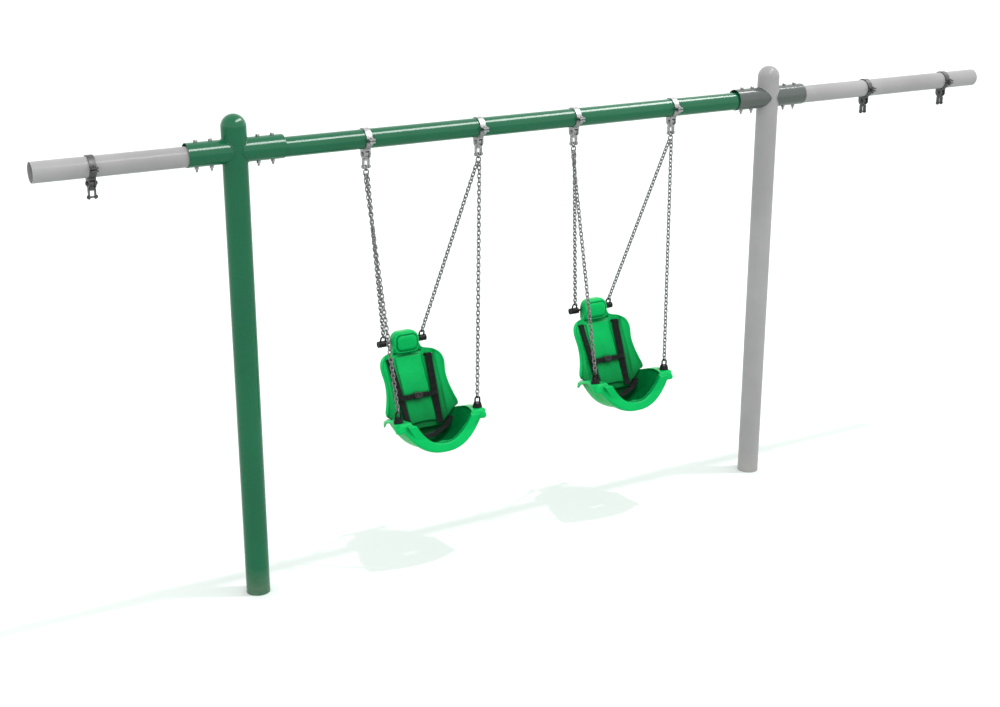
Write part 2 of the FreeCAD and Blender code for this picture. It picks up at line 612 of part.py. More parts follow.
def rear_eye():
    """The same eye on a cross barrel that fits on the rear rod."""
    barrel = cylinder("rear_barrel", "sheet.rear_barrel_radius", "sheet.rear_barrel_length",
                      ("-sheet.rear_barrel_length / 2", 0, 0), "X")
    bore = cylinder("rear_barrel_bore", "sheet.rear_rod_od / 2 + 0.1", "sheet.rear_barrel_length + 2",
                    ("-sheet.rear_barrel_length / 2 - 1", 0, 0), "X")
    return cut("rear_eye", fuse("rear_eye_body", barrel, *eye_loop("rear_eye", "10", "sheet.rear_eye_leg")), bore)


# --------------------------------------------------------------------------------------------------
# Chain
# --------------------------------------------------------------------------------------------------
def chain_link(name, wire, width, length):
    """Closed link about the origin, long way along Z, in the XZ plane."""
    bend = "(%s + %s) / 2" % (width, wire)
    straight = "(%s - %s)" % (length, width)
    parts = []
    for side, sign in (("left", -1), ("right", 1)):
        parts.append(cylinder("%s_%s" % (name, side), wire + " / 2", straight,
                              ("%d * %s" % (sign, bend), 0, "-%s / 2" % straight)))
    for end, sign in (("upper", 1), ("lower", -1)):
        bow = solid("Part::Torus", "%s_%s" % (name, end), (0, 0, "%d * %s / 2" % (sign, straight)),
                    Rotation(Vector(1, 0, 0), sign * 90), Radius1=bend, Radius2=wire + " / 2")
        bow.Angle3 = 180
        parts.append(bow)
    return fuse(name, *parts)


def link_placement(centre, down, crosswise):
    """Crosswise links lie across the swing (in X); the others lie fore and aft."""
    side = Vector(1, 0, 0)
    fore = down.cross(side).normalize()
    side = fore.cross(down).normalize()
    return Placement(centre, Rotation(side, Vector(), down, "ZXY") if crosswise
                     else Rotation(fore, Vector(), down, "ZXY"))


def chain_run(start, eye_top):
    """Placements of the links from the connecting link down to a seat eye."""
    half_link = (size("link_inner_length") + size("wire")) / 2
    bite = (size("eye_wire") + size("wire")) / 2 + 0.3
    run = (eye_top - start).Length + bite - 2 * half_link
    down = (eye_top - start).normalize()
    steps = 2 * math.ceil(run / size("link_pitch") / 2)
    pitch = run / steps
    return [link_placement(start + down * (half_link + pitch * count), down, count % 2 == 1)
            for count in range(steps + 1)]


def front_eye_top(x):
    return Vector(x, SEAT_Y + size("front_eye_y"),
                  size("front_eye_z") + size("eye_leg") + size("eye_radius"))


def rear_eye_top(x):
    tilt = math.radians(size("rear_eye_tilt"))
    reach = size("rear_eye_leg") + size("eye_radius")
    return Vector(x, SEAT_Y + size("rear_eye_y") - reach * math.sin(tilt),
                  size("rear_eye_z") + reach * math.cos(tilt))


def hanger_chains(hanger_x, seat_x):
    """Placements of one hanger's chain: top link, connecting link, front and rear runs."""
    inward = math.copysign(1, seat_x - hanger_x)
    top_z = CLEVIS_Z + size("clevis_od") / 2 + 0.15 - size("link_inner_length") / 2
    master_z = top_z - (size("link_inner_length") + size("master_inner_length")) / 2 + 0.3
    bow_z = master_z - (size("master_inner_length") - size("master_inner_width")) / 2
    play = (size("master_inner_width") - size("wire")) / 2
    start_z = bow_z - math.sqrt(play ** 2 - size("chain_side_step") ** 2) + 0.3
    down = Vector(0, 0, -1)
    front = Vector(hanger_x - inward * size("chain_side_step"), 0, start_z)
    rear = Vector(hanger_x + inward * size("chain_side_step"), 0, start_z)
    top = [link_placement(Vector(hanger_x, 0, top_z), down, False)]
    master = [link_placement(Vector(hanger_x, 0, master_z), down, True)]
    runs = (chain_run(front, front_eye_top(seat_x - inward * size("front_eye_half")))
            + chain_run(rear, rear_eye_top(seat_x - inward * size("rear_eye_half"))))
    return top + runs, master


# --------------------------------------------------------------------------------------------------
# Harness
# --------------------------------------------------------------------------------------------------
RECLINE_ANGLE = 60.5
RECLINE = Rotation(Vector(1, 0, 0), RECLINE_ANGLE - 90)
UP_BACK = Vector(0, math.cos(math.radians(RECLINE_ANGLE)), math.sin(math.radians(RECLINE_ANGLE)))
OUT_OF_BACK = Vector(1, 0, 0).cross(UP_BACK)
SLOT_X, SLOT_Z = 120, 1087
STRAP_CLEAR = 8


def strap_slot_corner(sign):
    """Corner of the box that cuts a strap slot square to the back's face."""
    centre = Vector(sign * SLOT_X, back_face(SLOT_X, SLOT_Z), SLOT_Z)
    corner = centre + OUT_OF_BACK * 45 - UP_BACK * (size("slot_height") / 2)
    return (corner.x - size("slot_length") / 2, corner.y, corner.z)


def ribbon(name, centres, across, width="strap_width"):
    """Flat webbing along a list of centre points; across gives its width direction at each of them."""
    half_width, half_thickness = size(width) / 2, size("strap_thickness") / 2
    rings = []
    for count, (centre, wide) in enumerate(zip(centres, across)):
        before, after = centres[max(count - 1, 0)], centres[min(count + 1, len(centres) - 1)]
        along = (after - before).normalize()
        face = along.cross(wide).normalize()
        wide = face.cross(along).normalize()
        corners = [centre + wide * (a * half_width) + face * (b * half_thickness)
                   for a, b in ((-1, -1), (1, -1), (1, 1), (-1, 1), (-1, -1))]
        rings.append(Part.makePolygon(corners))
    item = doc.addObject("Part::Feature", name)
    item.Shape = Part.makeLoft(rings, True, True)
    return item


def shoulder_strap(side, sign):
    """From a tail behind the back, over the lower edge of its slot and down the front to the lap strap."""
    slot = Vector(sign * SLOT_X, back_face(SLOT_X, SLOT_Z), SLOT_Z)
    radius, drop, behind = 12, 9, 5
    centres = [slot - UP_BACK * (drop + length) - OUT_OF_BACK * (behind + radius) for length in (55, 25)]
    for angle in range(180, -1, -30):
        turn = math.radians(angle)
        centres.append(slot + UP_BACK * (radius * math.sin(turn) - drop)
                       + OUT_OF_BACK * (radius * math.cos(turn) - behind))
    for z in range(1045, 764, -40):
        x = 97 + (SLOT_X - 97) * (z - 765) / (SLOT_Z - 765)
        centres.append(Vector(sign * x, back_face(x, z), z) + OUT_OF_BACK * STRAP_CLEAR)
    centres.append(Vector(sign * 98, 40, 738))
    lean = (back_face(SLOT_X + 10, 1000) - back_face(SLOT_X - 10, 1000)) / 20
    across = [Vector(1, sign * lean, 0)] * (len(centres) - 1) + [Vector(1, 0, 0)]
    return ribbon(side + "_shoulder_strap", centres, across)


def lap_strap():
    half = [(176, 72, 757), (160, 60, 745), (136, 41, 726), (108, 30, 714), (76, 22, 701), (38, 18, 688)]
    centres = ([Vector(*point) for point in half] + [Vector(0, 17, 683)]
               + [Vector(-x, y, z) for x, y, z in reversed(half)])
    return ribbon("lap_strap", centres, [Vector(0, 1, 0.15)] * len(centres))


CHEST_JOIN_X = 106
CHEST_CENTRE = (Vector(0, back_face(CHEST_JOIN_X, size("buckle_z")), size("buckle_z"))
                + OUT_OF_BACK * (STRAP_CLEAR + size("strap_thickness") + 7))


def chest_strap(side, sign, inner_x):
    centres = [CHEST_CENTRE + Vector(sign * x, 0, 0) for x in (CHEST_JOIN_X + 14, 70, inner_x)]
    return ribbon(side + "_chest_strap", centres, [UP_BACK] * 3, "chest_strap_width")


def buckle():
    """Body, tongue and release button about the origin: X along the strap, Z out of the chest."""
    length, height, depth = size("buckle_length"), size("buckle_height"), size("buckle_thickness")
    gap = size("button_gap")
    shell = box("buckle_shell", "sheet.buckle_length", "sheet.buckle_height", "sheet.buckle_thickness",
                (-length / 2 - 4, -height / 2, -depth / 2))
    mouth = box("buckle_mouth", "20", "18.6", "3.6", (length / 2 - 4 - 18, -9.3, -1.8))
    well = box("buckle_well", "sheet.button_length + 2 * sheet.button_gap",
               "sheet.button_height + 2 * sheet.button_gap", "12",
               (-14 - gap, -size("button_height") / 2 - gap, -depth / 2 + 3))
    body = cut("buckle_body", shell, mouth, well)
    tongue = box("buckle_tongue", "27", "18", "3", (length / 2 - 4 - 16, -9, -1.5))
    button = box("buckle_button", "sheet.button_length", "sheet.button_height", "sheet.button_thickness",
                 (-14, -size("button_height") / 2, depth / 2 + 1.5 - size("button_thickness")))
    return body, tongue, button


BUCKLE_LEFT, BUCKLE_RIGHT = 26, 29      # where the two strap halves meet the body and the tongue


# --------------------------------------------------------------------------------------------------
# The two swings
# --------------------------------------------------------------------------------------------------
def swings():
    pan, back = seat_pan(), seat_back()
    eye, barrel_eye = front_eye(), rear_eye()
    rod = cylinder("rear_rod", "sheet.rear_rod_od / 2",
                   "2 * sheet.rear_eye_half + sheet.rear_barrel_length - 4",
                   ("-sheet.rear_eye_half - sheet.rear_barrel_length / 2 + 2", "sheet.rear_eye_y",
                    "sheet.rear_eye_z"), "X")
    eye_nut = hex_nut("eye_nut", "sheet.eye_stud", "18", "10")
    screw = hex_bolt("seat_screw", "8", "32", "13", "5", "3")
    link = chain_link("chain_link", "sheet.wire", "sheet.link_inner_width", "sheet.link_inner_length")
    master = chain_link("master_link", "sheet.master_wire", "sheet.master_inner_width",
                        "sheet.master_inner_length")
    shoulder_straps = [shoulder_strap("left", -1), shoulder_strap("right", 1)]
    lap = lap_strap()
    chest_straps = [chest_strap("left", -1, BUCKLE_LEFT), chest_strap("right", 1, BUCKLE_RIGHT)]
    body, tongue, button = buckle()

    for name, seat_x, hangers_x in (("left_swing", -SEAT_X, HANGERS[:2]), ("right_swing", SEAT_X, HANGERS[2:])):
        middle = Vector(seat_x, SEAT_Y, 0)
        here = Placement(middle, Rotation())
        copies(name + "_seat_pan", pan, [here])
        copies(name + "_seat_back", back, [here])
        head_out = Rotation(Vector(1, 0, 0), -90)
        copies(name + "_seat_screws", screw,
               [Placement(middle + Vector(x, SCREW_FACE, SCREW_Z), head_out) for x in SCREW_XS])
        front_eyes = [middle + Vector(sign * size("front_eye_half"), size("front_eye_y"), size("front_eye_z"))
                      for sign in (-1, 1)]
        rear_eyes = [middle + Vector(sign * size("rear_eye_half"), size("rear_eye_y"), size("rear_eye_z"))
                     for sign in (-1, 1)]
        lean = Rotation(Vector(1, 0, 0), size("rear_eye_tilt"))
        several(name + "_chain_eyes",
                (eye, [Placement(foot, Rotation()) for foot in front_eyes]),
                (barrel_eye, [Placement(foot, lean) for foot in rear_eyes]))
        copies(name + "_rear_rod", rod, [Placement(middle, Rotation())])
        nut_drop = Vector(0, 0, -size("flange_thickness"))
        copies(name + "_eye_nuts", eye_nut, [Placement(foot + nut_drop, Rotation()) for foot in front_eyes])
        links, masters = [], []
        for hanger_x in hangers_x:
            run, master_place = hanger_chains(hanger_x, seat_x)
            links += run
            masters += master_place
        several(name + "_chains", (link, links), (master, masters))
        several(name + "_shoulder_straps", *[(strap, [here]) for strap in shoulder_straps])
        copies(name + "_lap_strap", lap, [here])
        several(name + "_chest_straps", *[(strap, [here]) for strap in chest_straps])
        chest = Placement(middle + CHEST_CENTRE, Rotation(Vector(1, 0, 0), RECLINE_ANGLE))
        copies(name + "_buckle_body", body, [chest])
        copies(name + "_buckle_tongue", tongue, [chest])
        copies(name + "_buckle_button", button, [chest])


frame()
hangers()
swings()


# --------------------------------------------------------------------------------------------------
# Checks and export
# --------------------------------------------------------------------------------------------------
def export():
    doc.recompute()
    for item in doc.Objects:
        if "Invalid" in item.State or "Error" in item.State:
            raise RuntimeError("%s failed: %s" % (item.Name, item.State))
    os.makedirs("parts", exist_ok=True)
    for item in NODES:
        shape = item.Shape
        if shape.isNull() or not shape.isValid():
            raise RuntimeError(item.Label + " has no valid shape")
        shape.exportStep("parts/%s.step" % item.Label)
        print("%-32s %3d solids %9.1f cm3" % (item.Label, len(shape.Solids), shape.Volume / 1000))


export()
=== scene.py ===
"""Swing set: the looks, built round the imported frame.

Metres, in the frame of the CAD: X along the top rail, Z up, a seated child faces -Y. Seat shapes are written
in the seat's own place: x from its middle plane, y from its datum, z from the ground.
"""
import json
import math

import bmesh
import bpy
import numpy as np
from mathutils import Euler, Matrix, Vector


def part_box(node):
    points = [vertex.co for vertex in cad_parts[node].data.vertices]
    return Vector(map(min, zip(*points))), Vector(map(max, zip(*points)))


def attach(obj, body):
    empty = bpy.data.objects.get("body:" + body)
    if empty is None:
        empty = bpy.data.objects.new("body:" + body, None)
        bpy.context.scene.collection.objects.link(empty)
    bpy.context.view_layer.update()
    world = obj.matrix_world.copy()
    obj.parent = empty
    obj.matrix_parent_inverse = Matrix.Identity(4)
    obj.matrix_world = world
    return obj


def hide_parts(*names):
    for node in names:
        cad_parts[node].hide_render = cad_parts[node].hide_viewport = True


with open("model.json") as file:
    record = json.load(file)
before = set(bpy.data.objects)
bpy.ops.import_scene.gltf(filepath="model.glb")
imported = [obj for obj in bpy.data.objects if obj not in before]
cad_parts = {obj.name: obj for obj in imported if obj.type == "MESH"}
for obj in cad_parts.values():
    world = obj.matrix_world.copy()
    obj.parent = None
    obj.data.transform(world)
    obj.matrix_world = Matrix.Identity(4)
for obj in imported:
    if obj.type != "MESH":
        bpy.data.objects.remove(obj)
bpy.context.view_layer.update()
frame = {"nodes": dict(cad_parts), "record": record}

# --------------------------------------------------------------------------------------------------
# Places read from the frame
# --------------------------------------------------------------------------------------------------
FRONT_EYE_Y = -0.110            # from the seat's datum
SWINGS = ("left_swing", "right_swing")


def middle(node):
    low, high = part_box(node)
    return (low + high) / 2


def seat_datum(swing):
    """Where a seat's own x = 0 and y = 0 lie."""
    return Vector((middle(swing + "_seat_pan").x, middle(swing + "_eye_nuts").y - FRONT_EYE_Y, 0))


# --------------------------------------------------------------------------------------------------
# Materials
# --------------------------------------------------------------------------------------------------
class Shader:
    """A material with short ways to add and join nodes."""

    def __init__(self, name, **inputs):
        self.material = bpy.data.materials.new(name)
        self.material.use_nodes = True
        self.nodes = self.material.node_tree.nodes
        self.links = self.material.node_tree.links
        self.bsdf = self.nodes["Principled BSDF"]
        for key, value in inputs.items():
            self.bsdf.inputs[key.replace("_", " ")].default_value = value
        self.coords = self.nodes.new("ShaderNodeTexCoord")
        self.normal = None

    def join(self, source, target):
        self.links.new(source, target)
        return self

    def noise(self, scale, detail=3.0, rough=0.5, coords="Object"):
        node = self.nodes.new("ShaderNodeTexNoise")
        node.inputs["Scale"].default_value = scale
        node.inputs["Detail"].default_value = detail
        node.inputs["Roughness"].default_value = rough
        self.join(self.coords.outputs[coords], node.inputs["Vector"])
        return node.outputs["Fac"]

    def cells(self, scale, feature="F1", output="Distance"):
        node = self.nodes.new("ShaderNodeTexVoronoi")
        node.feature = feature
        node.inputs["Scale"].default_value = scale
        self.join(self.coords.outputs["Object"], node.inputs["Vector"])
        return node.outputs[output]

    def ramp(self, value, *stops):
        """Colour ramp; each stop is (position, grey level or colour)."""
        node = self.nodes.new("ShaderNodeValToRGB")
        elements = node.color_ramp.elements
        while len(elements) < len(stops):
            elements.new(0.5)
        for element, (position, tone) in zip(elements, stops):
            element.position = position
            element.color = (*tone, 1) if isinstance(tone, tuple) else (tone, tone, tone, 1)
        self.join(value, node.inputs["Fac"])
        return node.outputs["Color"]

    def mix(self, factor, first, second, blend="MIX"):
        node = self.nodes.new("ShaderNodeMix")
        node.data_type = "RGBA"
        node.blend_type = blend
        sockets = [s for s in node.inputs if s.enabled]
        for socket, value in zip(sockets, (factor, first, second)):
            if hasattr(value, "links"):
                self.join(value, socket)
            elif isinstance(value, tuple):
                socket.default_value = (*value, 1)
            else:
                socket.default_value = value
        return next(s for s in node.outputs if s.enabled)

    def math(self, operation, first, second=0.0):
        node = self.nodes.new("ShaderNodeMath")
        node.operation = operation
        for socket, value in zip(node.inputs, (first, second)):
            if hasattr(value, "links"):
                self.join(value, socket)
            else:
                socket.default_value = value
        return node.outputs[0]

    def axis(self, letter, coords="Object"):
        node = self.nodes.new("ShaderNodeSeparateXYZ")
        self.join(self.coords.outputs[coords], node.inputs[0])
        return node.outputs[letter]

    def painted_shade_occlusion(self, reach):
        """Ambient occlusion for painted shade: 1 on an open surface, towards 0 where other surfaces stand
        around it.
        """
        node = self.nodes.new("ShaderNodeAmbientOcclusion")
        node.samples = 12
        node.inputs["Distance"].default_value = reach
        return node.outputs["AO"]

    def bump(self, height, distance, strength=1.0):
        node = self.nodes.new("ShaderNodeBump")
        node.inputs["Distance"].default_value = distance
        node.inputs["Strength"].default_value = strength
        self.join(height, node.inputs["Height"])
        if self.normal is not None:
            self.join(self.normal, node.inputs["Normal"])
        self.normal = node.outputs["Normal"]
        self.join(self.normal, self.bsdf.inputs["Normal"])
        return self

    def colour(self, value):
        return self.join(value, self.bsdf.inputs["Base Color"])

    def roughness(self, value):
        return self.join(value, self.bsdf.inputs["Roughness"])


def shade(colour, factor):
    return tuple(min(1.0, part * factor) for part in colour)


def powder_coat(name, colour, gloss, coat=0.42):
    """Baked paint: faint orange peel, drifting tone, fine scuffs and dust towards the ground."""
    s = Shader(name, Coat_Weight=coat, Coat_Roughness=0.09, Specular_IOR_Level=0.05)
    drift = s.noise(2.3, 4)
    tone = s.ramp(drift, (0.3, shade(colour, 0.90)), (0.7, shade(colour, 1.10)))
    specks = s.ramp(s.noise(420, 2), (0.66, 0.0), (0.74, 1.0))
    tone = s.mix(s.math("MULTIPLY", specks, 0.10), tone, shade(colour, 1.9))
    scuffs = s.ramp(s.noise(38, 8, 0.72), (0.62, 0.0), (0.70, 1.0))
    tone = s.mix(s.math("MULTIPLY", scuffs, 0.14), tone, shade(colour, 1.5))
    low = s.ramp(s.axis("Z"), (0.0, 1.0), (0.16, 0.0))
    dust = s.math("MULTIPLY", low, s.noise(17, 6, 0.7))
    tone = s.mix(s.math("MULTIPLY", dust, 0.3), tone, (0.34, 0.30, 0.25))
    s.colour(tone)
    s.roughness(s.ramp(s.noise(9, 5), (0.3, gloss * 0.8), (0.75, gloss * 1.35)))
    s.bump(s.noise(260, 2), 0.00008, 0.35)
    s.bump(s.noise(1.1, 2), 0.002, 0.10)
    return s.material


NEIGHBOUR_FROM = 2.1            # the neighbours' clamps start past here


def galvanised(name, colour, dark):
    """Hot-dip zinc: soft spangle and streaks; the spare hangers past the posts are painted dark grey."""
    s = Shader(name, Metallic=0.9)
    tone = s.ramp(s.cells(150, output="Color"), (0.15, shade(colour, 0.80)), (0.85, shade(colour, 1.18)))
    stain = s.ramp(s.noise(26, 6, 0.65), (0.55, 0.0), (0.75, 1.0))
    tone = s.mix(s.math("MULTIPLY", stain, 0.25), tone, (0.23, 0.21, 0.19))
    outside = s.math("GREATER_THAN", s.math("ABSOLUTE", s.axis("X")), NEIGHBOUR_FROM)
    tone = s.mix(outside, tone, dark)
    s.colour(tone)
    s.roughness(s.ramp(s.noise(70, 5), (0.25, 0.38), (0.8, 0.60)))
    s.bump(s.cells(150), 0.0003, 0.35)
    s.bump(s.noise(900, 2), 0.0001, 0.5)
    return s.material


PAINTED_SHADE_REACH = 0.4              # painted shade: surfaces nearer than this darken each other's colour


def moulded_plastic(name, colour):
    """Rotomoulded polyethylene: even pigment, a fine grain and a waxy sheen.

    It is paler along sharp edges, and painted shade darkens its colour in hollow places.
    """
    s = Shader(name, Specular_IOR_Level=0.045)
    tone = s.ramp(s.noise(6, 4), (0.3, shade(colour, 0.93)), (0.7, shade(colour, 1.07)))
    pigment = s.ramp(s.noise(700, 2), (0.6, 0.0), (0.78, 1.0))
    tone = s.mix(s.math("MULTIPLY", pigment, 0.10), tone, shade(colour, 1.4))
    scuffs = s.ramp(s.noise(55, 9, 0.75), (0.64, 0.0), (0.72, 1.0))
    tone = s.mix(s.math("MULTIPLY", scuffs, 0.08), tone, (0.03, 0.34, 0.12))
    geometry = s.nodes.new("ShaderNodeNewGeometry")
    edge = s.ramp(geometry.outputs["Pointiness"], (0.52, 0.0), (0.60, 1.0))
    tone = s.mix(s.math("MULTIPLY", edge, 0.14), tone, (0.02, 0.40, 0.13))
    # painted shade: the colour darkens towards 0.27 of itself where ambient occlusion is low
    depth = s.ramp(s.painted_shade_occlusion(PAINTED_SHADE_REACH), (0.56, 1.0), (0.93, 0.0))
    tone = s.mix(depth, tone, shade(colour, 0.27))
    s.colour(tone)
    s.roughness(s.ramp(s.noise(24, 5), (0.3, 0.22), (0.75, 0.36)))
    s.bump(s.noise(520, 3), 0.00022, 0.55)
    s.bump(s.noise(14, 3), 0.0016, 0.12)
    return s.material


def coated_fitting(name, colour):
    """Dipped vinyl on the chain eyes: soft, slightly lumpy, dusty in patches."""
    s = Shader(name, Specular_IOR_Level=0.12)
    tone = s.ramp(s.noise(60, 5), (0.3, shade(colour, 0.8)), (0.8, shade(colour, 1.9)))
    s.colour(tone)
    s.roughness(s.ramp(s.noise(90, 4), (0.3, 0.34), (0.8, 0.58)))
    s.bump(s.noise(130, 2), 0.0006, 0.35)
    s.bump(s.noise(900, 2), 0.0001, 0.5)
    return s.material


def woven(name, colour):
    """Webbing: UV x runs across the strap and y along it, both in strap widths."""
    s = Shader(name, Specular_IOR_Level=0.06, Sheen_Weight=0.06, Sheen_Roughness=0.4)
    ribs = []
    for letter, count, phase in (("X", 11, 0.0), ("Y", 16, 0.5)):
        turns = s.math("MULTIPLY", s.axis(letter, "UV"), count * math.tau)
        ribs.append(s.math("SINE", s.math("ADD", turns, phase)))
    weave = s.math("MULTIPLY", ribs[0], ribs[1])
    tone = s.ramp(s.math("ADD", s.math("MULTIPLY", weave, 0.5), 0.5), (0.2, shade(colour, 0.55)),
                  (0.9, shade(colour, 1.6)))
    fade = s.ramp(s.noise(30, 6, 0.65), (0.45, 0.0), (0.8, 1.0))
    s.colour(s.mix(s.math("MULTIPLY", fade, 0.35), tone, shade(colour, 3.2)))
    s.roughness(s.ramp(s.noise(200, 3), (0.3, 0.72), (0.8, 0.92)))
    s.bump(weave, 0.0005, 0.8)
    s.bump(s.noise(2600, 2), 0.0002, 0.5)
    return s.material


def fine_plastic(name, colour, rough):
    """Small injection-moulded pieces with a spark-eroded grain."""
    s = Shader(name, Specular_IOR_Level=0.2)
    s.colour(s.ramp(s.noise(80, 4), (0.3, shade(colour, 0.85)), (0.8, shade(colour, 1.35))))
    s.roughness(s.ramp(s.noise(160, 4), (0.3, rough * 0.85), (0.8, rough * 1.2)))
    s.bump(s.noise(1500, 2), 0.00012, 0.6)
    return s.material


PAINT_GREEN = (0.0010, 0.080, 0.033)
NEIGHBOUR_GREY = (0.24, 0.236, 0.238)
SLEEVE_GREY = (0.062, 0.072, 0.067)
NEIGHBOUR_ZINC = (0.07, 0.07, 0.07)
ZINC = (0.255, 0.253, 0.257)
CHAIN_ZINC = (0.145, 0.140, 0.144)
SEAT_GREEN = (0.0002, 0.320, 0.072)
BLACK = (0.003, 0.003, 0.0035)

MATERIALS = {
    "green_paint": powder_coat("green_paint", PAINT_GREEN, 0.26),
    "grey_paint": powder_coat("grey_paint", NEIGHBOUR_GREY, 0.45, 0.10),
    "dark_grey_paint": powder_coat("dark_grey_paint", SLEEVE_GREY, 0.40),
    "galvanised": galvanised("galvanised", ZINC, NEIGHBOUR_ZINC),
    "chain": galvanised("chain", CHAIN_ZINC, NEIGHBOUR_ZINC),
    "seat_plastic": moulded_plastic("seat_plastic", SEAT_GREEN),
    "black_coat": coated_fitting("black_coat", BLACK),
    "webbing": woven("webbing", (0.006, 0.008, 0.007)),
    "buckle_plastic": fine_plastic("buckle_plastic", (0.006, 0.006, 0.0065), 0.42),
    "button_plastic": fine_plastic("button_plastic", (0.016, 0.016, 0.017), 0.34),
    "bushing": fine_plastic("bushing", (0.02, 0.02, 0.02), 0.5),
    "thread": fine_plastic("thread", (0.05, 0.05, 0.05), 0.8),
}
# Finer looks than the record's slots, by the last word of a node's name.
LOOKS = {"chains": "chain", "pendulum": "galvanised"}
for part in frame["record"]["subparts"]:
    carried = frame["nodes"][part["node"]]
    carried.data.materials.clear()
    look = LOOKS.get(part["node"].rsplit("_", 1)[1], part["material_slot"])
    carried.data.materials.append(MATERIALS[look])


# --------------------------------------------------------------------------------------------------
# Object and mesh helpers
# --------------------------------------------------------------------------------------------------
def put(name, data):
    """A new object in the scene that shows the given mesh, light or camera."""
    item = bpy.data.objects.new(name, data)
    bpy.context.scene.collection.objects.link(item)
    return item


def new_object(name, vertices, faces):
    mesh = bpy.data.meshes.new(name)
    mesh.from_pydata([tuple(v) for v in vertices], [], faces)
    work = bmesh.new()
    work.from_mesh(mesh)
    bmesh.ops.recalc_face_normals(work, faces=work.faces)
    work.to_mesh(mesh)
    work.free()
    return put(name, mesh)


def loft(name, rings):
    """Closed solid through rings that have the same number of points."""
    count = len(rings[0])
    last = (len(rings) - 1) * count
    faces = []
    for base in range(0, last, count):
        for j in range(count):
            after = (j + 1) % count
            faces.append((base + j, base + after, base + count + after, base + count + j))
    faces += [tuple(range(count)), tuple(last + j for j in range(count))]
    return new_object(name, [point for ring in rings for point in ring], faces)


def curve_through(points, per_span):
    """Rows on a smooth curve through the given rows of numbers."""
    rows = np.array(points, float)
    ends = np.vstack([2 * rows[0] - rows[1], rows, 2 * rows[-1] - rows[-2]])
    out = []
    for a, b, c, d in zip(ends, ends[1:], ends[2:], ends[3:]):
        for t in np.arange(per_span) / per_span:
            out.append(0.5 * (2 * b + (c - a) * t + (2 * a - 5 * b + 4 * c - d) * t * t
                              + (3 * b - a - 3 * c + d) * t ** 3))
    out.append(rows[-1])
    return np.array(out)


def discard(item):
    """Delete an object and its mesh."""
    mesh = item.data
    bpy.data.objects.remove(item)
    bpy.data.meshes.remove(mesh)


def bake(item):
    """Apply the item's modifiers."""
    depsgraph = bpy.context.evaluated_depsgraph_get()
    mesh = bpy.data.meshes.new_from_object(item.evaluated_get(depsgraph))
    old = item.data
    item.modifiers.clear()
    item.data = mesh
    bpy.data.meshes.remove(old)
    return item


def cut(item, *tools):
    """Take each tool's space out of the item, and delete the tool."""
    for tool in tools:
        modifier = item.modifiers.new("cut", "BOOLEAN")
        modifier.operation = "DIFFERENCE"
        modifier.solver = "EXACT"
        modifier.object = tool
        bake(item)
        discard(tool)
    return item


def merge(name, items):
    """One object that holds the meshes of several."""
    work = bmesh.new()
    for item in items:
        work.from_mesh(item.data)
        discard(item)
    mesh = bpy.data.meshes.new(name)
    work.to_mesh(mesh)
    work.free()
    return put(name, mesh)


def mould(item, voxel, passes):
    """Melt overlapping solids into one skin with soft edges, as a moulding has."""
    remesh = item.modifiers.new("skin", "REMESH")
    remesh.mode = "VOXEL"
    remesh.voxel_size = voxel
    soften = item.modifiers.new("soften", "SMOOTH")
    soften.factor = 0.5
    soften.iterations = passes
    return bake(item)


def relief(item, height):
    """Move each vertex along its normal by height(places, normals)."""
    mesh = item.data
    places = np.empty(len(mesh.vertices) * 3)
    normals = np.empty(len(mesh.vertices) * 3)
    mesh.vertices.foreach_get("co", places)
    mesh.vertices.foreach_get("normal", normals)
    places, normals = places.reshape(-1, 3), normals.reshape(-1, 3)
    places += normals * height(places, normals)[:, None]
    mesh.vertices.foreach_set("co", places.ravel())
    mesh.update()


def smooth(item):
    """Shade a finished piece smooth."""
    item.data.polygons.foreach_set("use_smooth", [True] * len(item.data.polygons))


def rise(value, low, high):
    """Smooth step from 0 at low to 1 at high."""
    t = np.clip((value - low) / (high - low), 0, 1)
    return t * t * (3 - 2 * t)


def box_solid(name, size, matrix, bevel=0.0):
    """Box of the given size about its own middle, with round edges, then moved by the matrix."""
    work = bmesh.new()
    bmesh.ops.create_cube(work, size=1, matrix=Matrix.Diagonal((*size, 1)))
    if bevel:
        bmesh.ops.bevel(work, geom=work.edges[:], offset=bevel, segments=4, profile=0.5, affect="EDGES")
    work.transform(matrix)
    mesh = bpy.data.meshes.new(name)
    work.to_mesh(mesh)
    work.free()
    return put(name, mesh)


def set_down(item, datum, body, slot, *nodes):
    """Move a finished piece from the seat's own place to the frame, and tie it to its body."""
    item.data.transform(Matrix.Translation(datum))
    item.data.materials.clear()
    item.data.materials.append(MATERIALS[slot])
    smooth(item)
    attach(item, body)
    if nodes:
        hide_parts(*nodes)
    return item


def twin(item, name):
    """A copy with a mesh of its own."""
    return put(name, item.data.copy())


FINE = 0.0026      # voxel of the moulded skins


# --------------------------------------------------------------------------------------------------
# Seat pan
# --------------------------------------------------------------------------------------------------
DRAIN_LENGTH, DRAIN_WIDTH, DRAIN_Y = 0.084, 0.012, -0.040
RIM_TILT = math.radians(15.7)
RIM_TOP_Y, RIM_TOP_Z, RIM_DEPTH = -0.160, 0.850, 0.040
PAN_REAR_Y = 0.116


def trough_line(half, top, bottom, power, count=44):
    """Trough section from one top edge to the other, as (x, z)."""
    turns = np.linspace(-1, 1, count)
    x = np.sign(turns) * (1 - (1 - np.abs(turns)) ** 1.5)
    return [(half * t, bottom + (top - bottom) * abs(t) ** power) for t in x]


def trough(name, stations):
    """Solid trough; each station is (y, half width, top, bottom, power of the section)."""
    rings = [[(x, y, z) for x, z in trough_line(half, top, bottom, power)]
             for y, half, top, bottom, power in curve_through(stations, 5)]
    return loft(name, rings)


